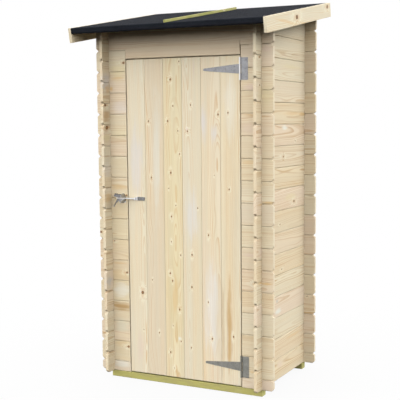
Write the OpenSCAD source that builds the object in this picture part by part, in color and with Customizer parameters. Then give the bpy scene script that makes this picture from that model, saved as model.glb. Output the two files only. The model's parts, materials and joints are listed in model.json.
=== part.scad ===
// Small garden shed built from interlocking log boards, with a lean-to roof.
// Millimetres. X runs along the front, Y from front to back, Z up from the ground.
// Every module draws in the frame of the log walls: X = 0 at the left wall's outer
// face, Y = 0 at the front wall's outer face, Z = 0 on top of the bearers.

/* [Log walls] */
// Width over the outer faces of the side walls
wall_w = 904; // [700:1:1400]
// Depth over the outer faces of the front and back walls
wall_d = 594; // [480:1:1000]
// Thickness of the log boards
board_t = 16; // [14:0.5:22]
// Height that one log board covers
board_h = 112; // [104:1:120]
// Full courses in the front wall, above its half course
front_courses = 16; // [15:1:18]
// Extra height of the top courses of the front and back walls
top_extra = 10; // [4:1:24]
// How far the log ends stand out past the crossing wall
log_end = 64; // [40:1:90]
// Size of the corner cut on each log end
end_cut = 12; // [6:1:18]
// Size of the bevel along each log joint
log_bevel = 3; // [1.5:0.5:4]
// Height of the tongue on top of each board
tongue_h = 7; // [4:0.5:9]

/* [Bearers and floor] */
// Height of the bearers
bearer_h = 34; // [28:1:70]
// Depth of the bearers from front to back
bearer_d = 45; // [40:1:70]
// Radius of the bearers' rounded arrises
bearer_r = 3; // [1:0.5:6]
// Thickness of the floor boards
floor_t = 16; // [14:0.5:22]
// Gap round the floor boards, to the walls and the shut door
floor_gap = 5; // [5:0.5:12]

/* [Doorway and door] */
// Front wall left of the doorway, from the left wall's outer face
jamb_left = 117.5; // [110:0.5:150]
// Front wall right of the doorway, to the right wall's outer face
jamb_right = 111.5; // [80:0.5:150]
// Height of the wall over the doorway, without its extra height
header_h = 158.5; // [130:0.5:200]
// Gap between the board over the doorway and the left jamb
notch_gap_left = 1; // [0.5:0.5:4]
// Gap between the board over the doorway and the right jamb
notch_gap_right = 6; // [2:0.5:8]
// Width of the saw cut that overruns the right notch
saw_kerf = 2; // [1:0.5:2]
// How far that saw cut runs up past the notch
saw_overrun = 24; // [5:1:28]
// Gap beside and over the door leaf
door_gap = 5.5; // [5:0.5:9]
// Gap under the door leaf
door_foot_gap = 8; // [6:1:20]
// Thickness of the door boards
door_t = 16; // [14:0.5:22]
// Size of the bevel along each door board
door_bevel = 2; // [1:0.5:3]
// Width that one door board covers
door_board_w = 111; // [90:1:120]
// Width of the three door ledges
ledge_w = 90; // [60:1:110]
// Thickness of the door ledges and braces
ledge_t = 16; // [12:0.5:22]
// Distance from the door's edges to the ledges' ends
ledge_inset = 24; // [22:1:60]
// Width of the diagonal braces
brace_w = 70; // [40:1:90]
// Thickness of the door posts on the inner face of the wall
post_t = 28; // [24:1:45]
// Width of the door posts
post_w = 44; // [30:1:60]
// How far the posts and head reach past the doorway's edge as a stop
stop_lap = 12; // [6:1:14]
// Gap between the shut door and its stop
stop_gap = 5; // [5:0.5:8]

/* [Hinges] */
// Distance of the lower hinge's middle from the door's bottom edge
hinge_foot_inset = 103; // [70:1:200]
// Distance of the upper hinge's middle from the door's top edge
hinge_head_inset = 64.5; // [62:0.5:200]
// Thickness of the hinge and latch plates
plate_t = 2; // [1.5:0.5:3]
// Length of the strap from the hinge axis to its tip
strap_l = 207; // [150:1:300]
// Height of the strap at the hinge axis
strap_root = 46; // [30:1:60]
// Height of the strap at its tip
strap_tip = 12; // [8:1:24]
// Width of the jamb leaf from the hinge axis
leaf_w = 42; // [30:1:60]
// Height of the jamb leaf
leaf_h = 110; // [90:1:140]
// Radius of the hinge pins
pin_r = 2.5; // [2:0.1:3]
// Radial clearance of the pins in their knuckles
pin_fit = 0.05; // [0.03:0.01:0.1]
// Wall of the knuckles round the pins
knuckle_wall = 2; // [1.5:0.1:2.5]

/* [Latch] */
// Height of the latch bar above the bearers
latch_z = 954; // [800:1:1100]
// Radius of the latch bar
bar_r = 4; // [3:0.5:5]
// Gap between the bar and the latch housing's back plate
bar_back_gap = 8; // [3:0.5:10]
// Width of the striker plate on the door
striker_w = 52; // [30:1:70]
// Height of the striker plate
striker_h = 18; // [14:1:30]
// Distance from the door's edge to the striker plate
striker_inset = 51; // [20:1:60]
// Width of the latch housing over its two cheeks
housing_w = 44; // [36:1:50]
// How far the housing's back plate reaches below the bar
housing_foot = 24; // [20:1:40]
// Radius of the cheeks' domed heads
dome_r = 26; // [24:0.5:30]
// How far the cheeks' lower jaws stand out from the wall
jaw_l = 53; // [50:1:56]
// How far the left cheek's jaw reaches below the bar
jaw_drop_left = 44; // [36:1:50]
// How far the right cheek's jaw reaches below the bar
jaw_drop_right = 23; // [20:1:28]
// Distance from the housing to the doorway
housing_inset = 10.5; // [6:0.5:20]
// Gap between the bar and its slot in the cheeks
bar_gap = 1.5; // [1:0.1:2.5]

/* [Roof] */
// Overhang of the roof in front of the front wall
eaves_front = 186; // [140:1:260]
// Overhang of the roof behind the back log ends
eaves_back_clear = 24; // [24:1:100]
// Gap between the side log ends and the barge boards
verge_gap = 28; // [10:1:80]
// Thickness of the roof boards
deck_t = 16; // [14:0.5:22]
// Width that one roof board covers
deck_board_w = 112; // [90:1:140]
// Size of the bevel along each roof board
deck_bevel = 2; // [1:0.5:3]
// Thickness of the roofing felt
felt_t = 2.5; // [1.5:0.1:4]
// Outer radius of the felt's bend over the front and back edges
felt_bend_top = 5; // [4.5:0.5:10]
// Outer radius of the felt's bend under the eaves battens
felt_bend_foot = 10; // [5:0.5:10]
// Thickness of the eaves battens under the roof boards
eaves_batten_t = 10; // [10:1:24]
// Width of the eaves battens
eaves_batten_w = 20; // [12:1:20]
// Height of the barge boards
barge_h = 75; // [60:1:110]
// Thickness of the barge boards
barge_t = 16; // [12:1:22]
// Width of the batten that holds the felt down
felt_batten_w = 12; // [10:1:40]
// Height of the batten that holds the felt down
felt_batten_h = 13; // [8:1:25]
// Radius of the felt batten's rounded arrises
felt_batten_r = 1.5; // [0.5:0.5:3]
// Distance of the felt batten from the roof's middle
felt_batten_shift = 13; // [-60:1:60]
// Distance of the felt batten's ends from the roof's front edge
felt_batten_front_gap = 7; // [5:1:60]
// Distance of the felt batten's ends from the roof's back edge
felt_batten_back_gap = 60; // [5:1:120]

/* [Fits] */
// Gap left between boards and pieces that seat on each other
seat = 0.3; // [0.1:0.05:0.5]

/* [Hidden] */
$fn = 48;

pine = "#e6d3a6";
treated = "#a9a85a";
felt_grey = "#34363c";
galvanised = "#9a9da2";

// One log course rises from the front wall to the back wall.
back_courses = front_courses + 1;
roof_angle = atan(board_h / wall_d);
front_h = (front_courses + 0.5) * board_h + top_extra;

// The half of each board that runs through a corner, and its cross slots.
neck_lo = board_h / 4;
neck_hi = board_h * 3 / 4;

// Cross section of the tongue and groove, shared by logs and door boards.
tongue_w = board_t / 3;

// Roof, in its own frame: u up the slope from the front edge, down from the felt.
eaves_back = log_end + eaves_back_clear;
eaves_side = log_end + verge_gap + barge_t;
roof_len = (eaves_front + wall_d + eaves_back) / cos(roof_angle);
roof_stack = deck_t + felt_t;
front_edge_z = front_h + roof_stack / cos(roof_angle) - eaves_front * tan(roof_angle);
deck_x0 = -eaves_side + barge_t;
deck_w = wall_w + 2 * (eaves_side - barge_t);

// The object's box is centred on X = 0 and Y = 0.
box_d = roof_len * cos(roof_angle) + barge_h * sin(roof_angle);
front_y = eaves_front - box_d / 2;

// Felt, with its bends' inner radii, and the arrises under them.
felt_h = roof_stack + eaves_batten_t + felt_t;
hem_w = felt_t + seat + eaves_batten_w;
deck_arris = felt_bend_top - felt_t - seat;
batten_arris = felt_bend_foot - felt_t - seat;

// Doorway, door leaf and hinge axis.
door_x = jamb_left;
door_x1 = wall_w - jamb_right;
door_w = door_x1 - door_x;
doorway_h = (front_courses + 0.5) * board_h - header_h;
leaf_x0 = door_x + door_gap;
leaf_x1 = door_x1 - door_gap;
leaf_top = doorway_h - door_gap;
hinge_low = door_foot_gap + hinge_foot_inset;
hinge_high = leaf_top - hinge_head_inset;

// Hinges.
knuckle_r = pin_r + knuckle_wall;
knuckle_gap = 0.5;
hinge_x = door_x1 - door_gap / 2;
hinge_y = -knuckle_r - knuckle_gap;
leaf_relief = 1.5;
strap_flat = 14;
plate_corner = 3;

// Rivets and pins stand out a little at each end, under heads.
pin_end = 0.2;
rivet_head = 1.5;
head_rim = 1.5;

// The three ledges of the door.
ledge_bevel = 3;
brace_inset = 10;
ledge_mid = (hinge_low + hinge_high) / 2;

// Latch bar, in front of the housing's back plate.
bar_y = -(plate_t + bar_back_gap + bar_r);
slot_r = bar_r + bar_gap;
housing_x1 = door_x - housing_inset;
housing_x0 = housing_x1 - housing_w;
striker_t = 4;
striker_x = leaf_x0 + striker_inset;
collar_w = 8;
collar_wall = 1;
collar_lip = 2;
bar_proud = 6;

// Cheeks of the latch housing: domed head above the bar's slot, jaw below it. The
// slot widens to a mouth at the front, far more so in the left cheek.
dome_up = 2;
root_top = 10;
root_foot = 16;
jaw_edge = 8;
flare_left = 8;
flare_right = 2;
throat_l = 4;
cheek_reach = plate_t + 2 * dome_r;

// Pawl between the cheeks: its pivot is out from the wall and up from the bar, and
// its flat edge is clear above the bar.
pawl_out = 38;
pawl_up = 14;
pawl_r = 10;
pawl_clear = 6;
pawl_gap = 1;
rivet_r = 2.5;

module place() {
    translate([-wall_w / 2, front_y, bearer_h]) children();
}

// ---------- log boards ----------

// Cross section of a board: Y is its thickness, Z its height from lo to hi.
module board_section(t, lo, hi, tongue, groove, bevel) {
    ty = tongue_w / 2;
    difference() {
        union() {
            polygon([
                [bevel, lo], [t - bevel, lo], [t, lo + bevel], [t, hi - bevel],
                [t - bevel, hi], [bevel, hi], [0, hi - bevel], [0, lo + bevel]
            ]);
            if (tongue)
                translate([t / 2 - ty, hi - 1]) square([2 * ty, tongue_h + 1]);
        }
        if (groove)
            translate([t / 2 - ty - seat, lo - 1])
                square([2 * (ty + seat), tongue_h + 2]);
    }
}

// Side view of a board along X. Its log ends are cut at the corners.
module board_side(x0, x1, lo, hi, cut0, cut1, tongue) {
    c0 = cut0 ? end_cut : 0;
    c1 = cut1 ? end_cut : 0;
    polygon(concat(
        [[x0 + c0, lo], [x1 - c1, lo]], cut1 ? [[x1, lo + c1], [x1, hi - c1]] : [],
        [[x1 - c1, hi], [x0 + c0, hi]], cut0 ? [[x0, hi - c0], [x0, lo + c0]] : []
    ));
    if (tongue) translate([x0 + c0, hi - 1]) square([x1 - c1 - x0 - c0, tongue_h + 1]);
}

// One log board along X, from x0 to x1 and from lo to hi. Its course starts at z.
// crossings lists where the boards of the crossing walls pass: the board keeps only
// the middle half of its course there, and theirs fill the rest.
module log_board(x0, x1, z, lo, hi, crossings, cut0, cut1, tongue) {
    top = hi - seat;
    difference() {
        intersection() {
            translate([x0, 0, 0]) rotate([90, 0, 90]) linear_extrude(x1 - x0)
                board_section(board_t, lo, top, tongue, lo > 0, log_bevel);
            translate([0, board_t, 0]) rotate([90, 0, 0]) linear_extrude(board_t)
                board_side(x0, x1, lo, top, cut0, cut1, tongue);
        }
        for (x = crossings, slot_z = [z + neck_lo + seat / 2 - board_h, z + neck_hi - seat / 2])
            translate([x - seat, -1, slot_z])
                cube([board_t + 2 * seat, board_t + 2, board_h]);
    }
}

// Everything above the underside of the roof, for cutting the top boards.
module above_roof() {
    translate([-wall_w, 0, front_h]) rotate([roof_angle, 0, 0])
        translate([0, -2 * eaves_front, -seat])
            cube([3 * wall_w, 4 * wall_d, 4 * board_h]);
}

// A stretch of wall along X with its outer face at y, from x0 to x1. It starts with
// a half course, and stops below the top board.
module long_wall(y, courses, x0, x1, crossings, cut0, cut1) {
    color(pine) for (i = [0:courses - 1])
        translate([0, y, 0])
            log_board(x0, x1, (i - 0.5) * board_h, max(i - 0.5, 0) * board_h,
                (i + 0.5) * board_h, crossings, cut0, cut1, true);
}

// The top board of a wall along X, bevelled to the roof. What is drawn with it is
// part of the board.
module top_board(y, courses) {
    z = (courses - 0.5) * board_h;
    color(pine) difference() {
        union() {
            translate([0, y, 0])
                log_board(-log_end, wall_w + log_end, z, z, z + 2 * board_h,
                    [0, wall_w - board_t], true, true, false);
            children();
        }
        above_roof();
    }
}

// A side wall along Y. It starts with a full course, and its top boards follow the
// slope of the roof.
module side_wall(x) {
    color(pine) difference() {
        translate([x + board_t, 0, 0]) rotate([0, 0, 90])
            for (i = [0:back_courses])
                log_board(-log_end, wall_d + log_end, i * board_h, i * board_h,
                    (i + 1) * board_h, [0, wall_d - board_t], true, true, true);
        above_roof();
    }
}

module wall_left() {
    side_wall(0);
}

module wall_right() {
    side_wall(wall_w - board_t);
}

module wall_back() {
    long_wall(wall_d - board_t, back_courses, -log_end, wall_w + log_end,
        [0, wall_w - board_t], true, true);
    top_board(wall_d - board_t, back_courses);
}

module wall_front_left() {
    long_wall(0, front_courses, -log_end, door_x, [0], true, false);
}

module wall_front_right() {
    long_wall(0, front_courses, door_x1, wall_w + log_end, [wall_w - board_t], false, true);
}

// The front wall's top board: one wide board, notched over the jamb walls and down
// to the doorway between them. The saw has overrun the right notch.
module wall_front_header() {
    notch_z = (front_courses - 0.5) * board_h;
    x0 = door_x + notch_gap_left;
    x1 = door_x1 - notch_gap_right;
    difference() {
        top_board(0, front_courses)
            translate([x0, 0, 0]) rotate([90, 0, 90]) linear_extrude(x1 - x0)
                board_section(board_t, doorway_h, notch_z + board_h / 2,
                    false, false, log_bevel);
        translate([x1, -1, notch_z - 1])
            cube([saw_kerf, board_t + 2, saw_overrun + 1]);
    }
}

// ---------- bearers and floor ----------

// Rectangle with rounded corners, its lower left corner at the origin.
module rounded_rect(w, h, r) {
    translate([r, 0]) square([w - 2 * r, h]);
    translate([0, r]) square([w, h - 2 * r]);
    for (x = [r, w - r], y = [r, h - r])
        translate([x, y]) circle(r = r);
}

module bearer(y) {
    color(treated) translate([0, y, -bearer_h]) rotate([90, 0, 90])
        linear_extrude(wall_w) rounded_rect(bearer_d, bearer_h, bearer_r);
}

module bearer_front() {
    bearer(0);
}

module bearer_back() {
    bearer(wall_d - bearer_d);
}

module floor_boards() {
    inner = board_t + floor_gap;
    span = wall_w - 2 * inner;
    count = ceil(span / board_h);
    cover = span / count;
    color(pine) for (i = [0:count - 1])
        translate([inner + i * cover, inner, 0])
            cube([cover - seat, wall_d - 2 * inner, floor_t]);
}

// ---------- door frame ----------

// A post on the wall's inner face beside the doorway. It reaches behind the door's
// edge as a stop, and is cut back there so that the door stays clear of it.
module door_post(side) {
    edge = side < 0 ? door_x : door_x1;
    x0 = side < 0 ? edge + stop_lap - post_w : edge - stop_lap;
    color(pine) difference() {
        translate([x0, board_t, floor_t + seat])
            cube([post_w, post_t, front_h - 2 * board_t - floor_t]);
        translate([side < 0 ? edge : edge - stop_lap - 1, board_t - 1, -1])
            cube([stop_lap + 1, 1 + stop_gap, doorway_h + 1]);
    }
}

module door_post_left() {
    door_post(-1);
}

module door_post_right() {
    door_post(1);
}

// The batten between the posts, behind the boards over the doorway.
module door_head() {
    x0 = door_x + stop_lap + seat;
    color(pine) difference() {
        translate([x0, board_t, doorway_h - stop_lap])
            cube([door_w - 2 * (stop_lap + seat), post_t, post_w]);
        translate([x0 - 1, board_t - 1, doorway_h - stop_lap - 1])
            cube([door_w, 1 + stop_gap, stop_lap + 1]);
    }
}

// ---------- door leaf ----------

// Edges of the boards that cover a span, with the two outer ones cut to fit.
function board_edges(span, cover) =
    let (count = ceil(span / cover), first = (span - (count - 2) * cover) / 2)
    concat([0], [for (i = [0:count - 2]) first + i * cover], [span]);

// Cross section of matched boards side by side along X, t thick along Y.
module matched_boards(t, span, cover, bevel) {
    edges = board_edges(span, cover);
    last = len(edges) - 2;
    for (i = [0:last])
        mirror([1, -1])
            board_section(t, edges[i], edges[i + 1] - (i < last ? seat : 0),
                i < last, i > 0, bevel);
}

module door_boards() {
    color(pine) translate([leaf_x0, 0, door_foot_gap])
        linear_extrude(leaf_top - door_foot_gap)
            matched_boards(door_t, leaf_x1 - leaf_x0, door_board_w, door_bevel);
}

// A ledge across the back of the door, with its long arrises bevelled.
module door_ledge(z) {
    color(pine) translate([leaf_x0 + ledge_inset, door_t, z - ledge_w / 2])
        rotate([90, 0, 90]) linear_extrude(leaf_x1 - leaf_x0 - 2 * ledge_inset)
            polygon([
                [0, 0], [ledge_t - ledge_bevel, 0], [ledge_t, ledge_bevel],
                [ledge_t, ledge_w - ledge_bevel], [ledge_t - ledge_bevel, ledge_w],
                [0, ledge_w]
            ]);
}

module door_ledge_top() {
    door_ledge(hinge_high);
}

module door_ledge_middle() {
    door_ledge(ledge_mid);
}

module door_ledge_bottom() {
    door_ledge(hinge_low);
}

// A brace that rises from the hinge side, between two ledges.
module door_brace(z_low, z_high) {
    lo = z_low + ledge_w / 2 + seat;
    hi = z_high - ledge_w / 2 - seat;
    a = leaf_x1 - ledge_inset - brace_inset;
    b = leaf_x0 + ledge_inset + brace_inset;
    foot = brace_w * sqrt(1 + pow((a - b - brace_w) / (hi - lo), 2));
    color(pine) translate([0, door_t + ledge_t, 0]) rotate([90, 0, 0])
        linear_extrude(ledge_t) polygon([[a - foot, lo], [a, lo], [b + foot, hi], [b, hi]]);
}

module door_brace_upper() {
    door_brace(ledge_mid, hinge_high);
}

module door_brace_lower() {
    door_brace(hinge_low, ledge_mid);
}

// ---------- T hinges ----------

// One knuckle round the hinge axis, joined to its plate by what is drawn with it.
module knuckle(z0, z1) {
    difference() {
        union() {
            translate([0, 0, z0]) cylinder(r = knuckle_r, h = z1 - z0);
            children();
        }
        translate([0, 0, z0 - 1]) cylinder(r = pin_r + pin_fit, h = z1 - z0 + 2);
    }
}

// The upright leaf on the jamb, with a knuckle above and below the strap's.
module hinge_leaf(z) {
    half = leaf_h / 2;
    mid = strap_root / 2 + knuckle_gap;
    relief = knuckle_r + leaf_relief;
    plate_y = -hinge_y - plate_t;
    color(galvanised) translate([hinge_x, hinge_y, z]) {
        for (z0 = [-half, mid])
            knuckle(z0, z0 + half - mid)
                translate([0, plate_y, z0]) cube([relief + 1, plate_t, half - mid]);
        translate([relief, -hinge_y, -half]) rotate([90, 0, 0]) linear_extrude(plate_t) {
            rounded_rect(leaf_w - relief, leaf_h, plate_corner);
            square([leaf_w - relief - plate_corner, leaf_h]);
        }
    }
}

// The tapered strap on the door, with the middle knuckle.
module hinge_strap(z) {
    half = strap_root / 2;
    tip_r = strap_tip / 2;
    tip_x = tip_r - strap_l;
    color(galvanised) translate([hinge_x, hinge_y, z]) knuckle(-half, half)
        translate([0, -hinge_y, 0]) rotate([90, 0, 0]) linear_extrude(plate_t) {
            polygon([
                [0, -half], [0, half], [-strap_flat, half],
                [tip_x, tip_r], [tip_x, -tip_r], [-strap_flat, -half]
            ]);
            translate([tip_x, 0]) circle(r = tip_r);
        }
}

// The riveted pin through all three knuckles.
module hinge_pin(z) {
    color(galvanised) translate([hinge_x, hinge_y, z - leaf_h / 2])
        rivet(pin_r, leaf_h);
}

// A pin along Z through something l thick, with a head on each end.
module rivet(r, l) {
    translate([0, 0, -pin_end]) cylinder(r = r, h = l + 2 * pin_end);
    for (z = [-pin_end - rivet_head, l + pin_end])
        translate([0, 0, z]) cylinder(r = r + head_rim, h = rivet_head);
}

module hinge_leaf_upper() {
    hinge_leaf(hinge_high);
}

module hinge_strap_upper() {
    hinge_strap(hinge_high);
}

module hinge_pin_upper() {
    hinge_pin(hinge_high);
}

module hinge_leaf_lower() {
    hinge_leaf(hinge_low);
}

module hinge_strap_lower() {
    hinge_strap(hinge_low);
}

module hinge_pin_lower() {
    hinge_pin(hinge_low);
}

// ---------- latch ----------

// Side view of a cheek: first axis out from the wall, second axis up from the bar.
module cheek_side(drop, flare) {
    slot_end = -bar_y;
    throat = slot_end + throat_l;
    difference() {
        union() {
            translate([plate_t + dome_r, dome_up]) circle(r = dome_r);
            polygon([
                [0, -root_foot], [throat, -root_foot], [jaw_l - jaw_edge, -drop],
                [jaw_l, -drop], [jaw_l, jaw_edge - drop], [throat, root_top],
                [0, root_top]
            ]);
        }
        translate([slot_end, 0]) circle(r = slot_r);
        translate([slot_end, -slot_r]) square([cheek_reach, 2 * slot_r]);
        polygon([
            [throat, -slot_r], [jaw_l, jaw_edge - drop], [2 * cheek_reach, jaw_edge - drop],
            [2 * cheek_reach, slot_r + flare], [cheek_reach, slot_r + flare],
            [throat, slot_r]
        ]);
    }
}

module cheek(x, drop, flare) {
    translate([x, 0, 0]) rotate([90, 0, -90]) linear_extrude(plate_t)
        cheek_side(drop, flare);
}

// Two cheeks on a back plate, screwed to the jamb.
module latch_housing() {
    color(galvanised) translate([0, 0, latch_z]) difference() {
        union() {
            cheek(housing_x0 + plate_t, jaw_drop_left, flare_left);
            cheek(housing_x1, jaw_drop_right, flare_right);
            translate([housing_x0, -plate_t, -housing_foot])
                cube([housing_w, plate_t, housing_foot + root_top]);
        }
        translate([housing_x0 - 1, -pawl_out, pawl_up]) rotate([0, 90, 0])
            cylinder(r = rivet_r + pin_fit, h = housing_w + 2);
    }
}

// The rivet that carries the pawl between the cheeks.
module latch_rivet() {
    color(galvanised) translate([housing_x0, -pawl_out, latch_z + pawl_up])
        rotate([0, 90, 0]) rivet(rivet_r, housing_w);
}

// The lifted pawl: a thick disc with a flat edge, clear above the bar.
module latch_pawl() {
    hub_w = housing_w - 2 * (plate_t + pawl_gap);
    flat_z = bar_r + pawl_clear - pawl_up;
    color(galvanised)
        translate([housing_x0 + plate_t + pawl_gap, -pawl_out, latch_z + pawl_up])
            difference() {
                rotate([0, 90, 0]) cylinder(r = pawl_r, h = hub_w);
                translate([-1, -2 * pawl_r, flat_z - 2 * pawl_r])
                    cube([hub_w + 2, 4 * pawl_r, 2 * pawl_r]);
                translate([-1, 0, 0]) rotate([0, 90, 0])
                    cylinder(r = rivet_r + pin_fit, h = hub_w + 2);
            }
}

// The striker: a plate and collar on the door that carry the latch bar.
module latch_striker() {
    bar_from = housing_x0 - bar_proud;
    collar_h = 2 * (bar_r + collar_wall + collar_lip);
    color(galvanised) translate([0, 0, latch_z]) {
        translate([striker_x, 0, -striker_h / 2]) rotate([90, 0, 0])
            linear_extrude(striker_t) rounded_rect(striker_w, striker_h, plate_corner);
        translate([striker_x - collar_w / 2, bar_y - bar_r - collar_wall, -collar_h / 2])
            cube([collar_w, bar_r + collar_wall - bar_y, collar_h]);
        translate([bar_from, bar_y, 0]) rotate([0, 90, 0])
            cylinder(r = bar_r, h = striker_x - bar_from);
    }
}

// ---------- roof ----------

// Roof frame: origin on the front edge of the felt's top, Y up the slope.
module on_roof() {
    translate([0, -eaves_front, front_edge_z]) rotate([roof_angle, 0, 0]) children();
}

// Side view of a piece under the felt, from u0 to u1 and t thick, w below the felt's
// top. Its arrises of radius r are above or below, at the front or the back.
module under_felt(u0, u1, w, t, r, above, front, back) {
    z = above ? -w - r : r - w - t;
    difference() {
        translate([u0, -w - t]) square([u1 - u0, t]);
        for (arris = concat(front ? [[u0, u0 + r]] : [], back ? [[u1 - r, u1 - r]] : []))
            difference() {
                translate([arris[0], above ? z : z - r]) square(r);
                translate([arris[1], z]) circle(r = r);
            }
    }
}

module roof_deck() {
    u0 = felt_t + seat;
    u1 = roof_len - felt_t - seat;
    color(pine) on_roof() intersection() {
        translate([deck_x0, u1, -roof_stack]) rotate([90, 0, 0]) linear_extrude(u1 - u0)
            matched_boards(deck_t, deck_w, deck_board_w, deck_bevel);
        translate([deck_x0, 0, 0]) rotate([90, 0, 90]) linear_extrude(deck_w)
            under_felt(u0, u1, felt_t, deck_t, deck_arris, true, true, true);
    }
}

module eaves_batten(u, front) {
    color(pine) on_roof() translate([deck_x0 + seat, 0, 0]) rotate([90, 0, 90])
        linear_extrude(deck_w - 2 * seat)
            under_felt(u, u + eaves_batten_w, roof_stack, eaves_batten_t, batten_arris,
                false, front, !front);
}

module eaves_batten_front() {
    eaves_batten(felt_t + seat, true);
}

module eaves_batten_back() {
    eaves_batten(roof_len - felt_t - seat - eaves_batten_w, false);
}

// Outline of the felt from above its hems, grown inwards by t: a rectangle with its
// upper and lower corners rounded.
module felt_outline(t) {
    top_r = felt_bend_top - t;
    foot_r = felt_bend_foot - t;
    for (u = [t + top_r, roof_len - t - top_r])
        translate([u, -t - top_r]) circle(r = top_r);
    for (u = [t + foot_r, roof_len - t - foot_r])
        translate([u, t + foot_r - felt_h]) circle(r = foot_r);
    translate([t + top_r, -felt_h / 2])
        square([roof_len - 2 * (t + top_r), felt_h / 2 - t]);
    translate([t, -felt_h + t + foot_r])
        square([roof_len - 2 * t, felt_h - 2 * t - foot_r - top_r]);
    translate([t + foot_r, t - felt_h])
        square([roof_len - 2 * (t + foot_r), felt_h / 2]);
}

// The felt, folded down over the front and back edges and in under the battens.
module roof_felt() {
    color(felt_grey) on_roof() translate([deck_x0 + seat, 0, 0]) rotate([90, 0, 90])
        linear_extrude(deck_w - 2 * seat) difference() {
            felt_outline(0);
            felt_outline(felt_t);
            translate([hem_w, -felt_h - 1]) square([roof_len - 2 * hem_w, felt_h / 2]);
        }
}

// The batten nailed on the felt, up the slope of the roof.
module felt_batten() {
    x = wall_w / 2 + felt_batten_shift - felt_batten_w / 2;
    color(treated) on_roof() translate([x, felt_batten_front_gap, 0]) rotate([90, 0, 0])
        mirror([0, 0, 1])
            linear_extrude(roof_len - felt_batten_front_gap - felt_batten_back_gap)
                rounded_rect(felt_batten_w, felt_batten_h, felt_batten_r);
}

module barge_board(x) {
    color(pine) on_roof() translate([x, 0, -barge_h]) cube([barge_t, roof_len, barge_h]);
}

module barge_board_left() {
    barge_board(-eaves_side);
}

module barge_board_right() {
    barge_board(wall_w + eaves_side - barge_t);
}

place() bearer_front();
place() bearer_back();
place() floor_boards();
place() wall_left();
place() wall_right();
place() wall_back();
place() wall_front_left();
place() wall_front_right();
place() wall_front_header();
place() door_post_left();
place() door_post_right();
place() door_head();
place() roof_deck();
place() eaves_batten_front();
place() eaves_batten_back();
place() roof_felt();
place() felt_batten();
place() barge_board_left();
place() barge_board_right();
place() door_boards();
place() door_ledge_top();
place() door_ledge_middle();
place() door_ledge_bottom();
place() door_brace_upper();
place() door_brace_lower();
place() hinge_leaf_upper();
place() hinge_strap_upper();
place() hinge_pin_upper();
place() hinge_leaf_lower();
place() hinge_strap_lower();
place() hinge_pin_lower();
place() latch_housing();
place() latch_pawl();
place() latch_rivet();
place() latch_striker();
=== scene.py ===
import json
import math
import random
from types import SimpleNamespace

import bmesh
import bpy
from mathutils import Matrix, Vector

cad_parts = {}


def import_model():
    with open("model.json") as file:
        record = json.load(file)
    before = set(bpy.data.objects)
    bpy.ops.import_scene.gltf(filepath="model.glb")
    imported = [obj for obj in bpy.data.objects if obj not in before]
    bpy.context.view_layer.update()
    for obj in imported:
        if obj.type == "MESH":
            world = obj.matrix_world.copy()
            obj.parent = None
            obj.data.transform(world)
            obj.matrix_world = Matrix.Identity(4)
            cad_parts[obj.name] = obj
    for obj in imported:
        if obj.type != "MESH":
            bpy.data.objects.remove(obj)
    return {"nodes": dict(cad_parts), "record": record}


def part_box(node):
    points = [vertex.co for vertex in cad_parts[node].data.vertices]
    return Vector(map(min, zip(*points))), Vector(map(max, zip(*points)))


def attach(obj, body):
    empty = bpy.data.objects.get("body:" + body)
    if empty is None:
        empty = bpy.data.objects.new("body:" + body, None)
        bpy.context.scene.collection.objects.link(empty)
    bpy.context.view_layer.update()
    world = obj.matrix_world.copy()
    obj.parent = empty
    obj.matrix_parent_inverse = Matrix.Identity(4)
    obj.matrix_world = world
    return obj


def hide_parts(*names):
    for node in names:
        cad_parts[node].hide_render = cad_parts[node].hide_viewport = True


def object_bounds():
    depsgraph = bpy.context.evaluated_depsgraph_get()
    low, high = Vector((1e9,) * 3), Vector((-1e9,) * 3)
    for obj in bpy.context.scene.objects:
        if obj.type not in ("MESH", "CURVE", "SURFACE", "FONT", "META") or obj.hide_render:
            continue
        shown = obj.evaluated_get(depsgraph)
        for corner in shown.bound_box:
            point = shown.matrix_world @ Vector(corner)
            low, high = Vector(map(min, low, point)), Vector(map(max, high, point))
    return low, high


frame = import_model()
cad_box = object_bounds()

X, Y, Z = Vector((1, 0, 0)), Vector((0, 1, 0)), Vector((0, 0, 1))


# ---------------------------------------------------------------- shader helpers


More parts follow.
